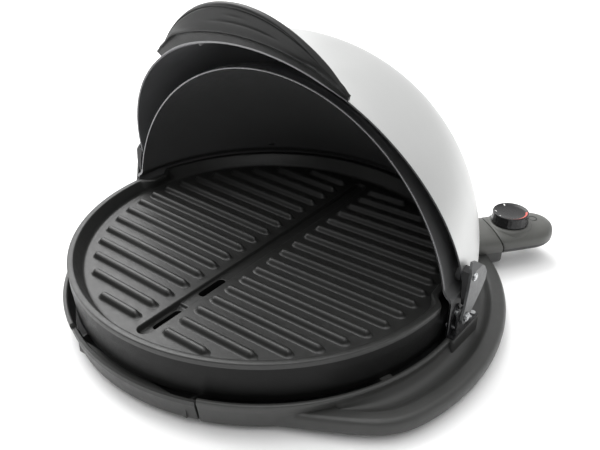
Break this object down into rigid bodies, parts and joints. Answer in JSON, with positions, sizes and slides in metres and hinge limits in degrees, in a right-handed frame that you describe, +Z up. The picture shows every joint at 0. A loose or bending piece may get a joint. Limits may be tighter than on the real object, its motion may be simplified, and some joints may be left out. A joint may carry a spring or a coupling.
{
  "type": "electric indoor grill",
  "caption": "Round ribbed grill plate on a low base with a fixed rear shell, a roll-back silver lid with a visor handle, a drip tray and a plug-in temperature probe.",
  "frame": {"origin": "middle of the outline seen from above, on the table under the feet", "axes": "+Z up, -Y towards the drip tray and the open side, +X along the lid's hinge line towards the side with the temperature probe"},
  "size_m": [0.4039, 0.3922, 0.2591],
  "materials": {
    "nonstick": "black non-stick coating on a cast aluminium plate, satin",
    "element": "dull heated sheath",
    "terminal": "plated",
    "insulator": "white, unglazed",
    "guard": "bare sheet",
    "base_plastic": "charcoal, fine grain",
    "cover_plastic": "black, fine grain",
    "reflector": "bright sheet",
    "foot_rubber": "matt black",
    "screw": "zinc plated",
    "bracket": "black enamel",
    "pin": "bright",
    "shell": "dark satin enamel inside and outside",
    "lid": "glossy silver outside, dark enamel inside",
    "arm": "grey satin",
    "spacer": "black",
    "handle": "black satin",
    "probe_plastic": "dark grey satin",
    "probe_dark": "dark grey satin",
    "nose": "black heat-proof moulding",
    "contact": "bright",
    "rod": "polished",
    "thermostat": "dull",
    "lens": "translucent white",
    "gland": "black",
    "knob": "black with a red and white scale"
  },
  "bodies": {
    "base": {"grill_plate": "nonstick", "heating_element": "element", "terminal_pins": "terminal", "terminal_insulators": "insulator", "socket_guard": "guard", "base_housing": "base_plastic", "bottom_cover": "cover_plastic", "heat_reflector": "reflector", "rubber_feet": "foot_rubber", "base_screws": "screw", "hinge_bracket_right": "bracket", "hinge_bracket_left": "bracket", "bracket_screws": "screw", "pivot_pin_right": "pin", "pivot_pin_left": "pin", "rear_shell": "shell", "shell_screws": "screw", "socket_hood": "probe_plastic"},
    "lid": {"lid_dome": "lid", "lid_arm_right": "arm", "lid_arm_left": "arm", "arm_spacers": "spacer", "arm_rivets": "pin", "lid_handle": "handle", "handle_screws": "screw"},
    "tray": {"drip_tray": "base_plastic"},
    "probe": {"probe_upper_shell": "probe_plastic", "probe_lower_shell": "probe_dark", "probe_nose": "nose", "contact_sleeves": "contact", "sensor_rod": "rod", "thermostat": "thermostat", "probe_screws": "screw", "indicator_lens": "lens", "cord_gland": "gland"},
    "knob": {"knob_shaft": "rod", "control_knob": "knob"}
  },
  "joints": [
    {"name": "lid_roll", "type": "hinge", "parent": "base", "child": "lid", "pos_m": [0, -0.00997, 0.0475], "axis": [1, 0, 0], "range_deg": [0, 75.5]},
    {"name": "tray_slide", "type": "slide", "parent": "base", "child": "tray", "axis": [0, -1, 0], "range_m": [0, 0.125]},
    {"name": "probe_slide", "type": "slide", "parent": "base", "child": "probe", "axis": [0.6088, 0.7934, 0], "range_m": [0, 0.06]},
    {"name": "knob_turn", "type": "hinge", "parent": "probe", "child": "knob", "pos_m": [0.13941, 0.15721, 0.044], "axis": [0, 0, -1], "range_deg": [0, 270]}
  ]
}
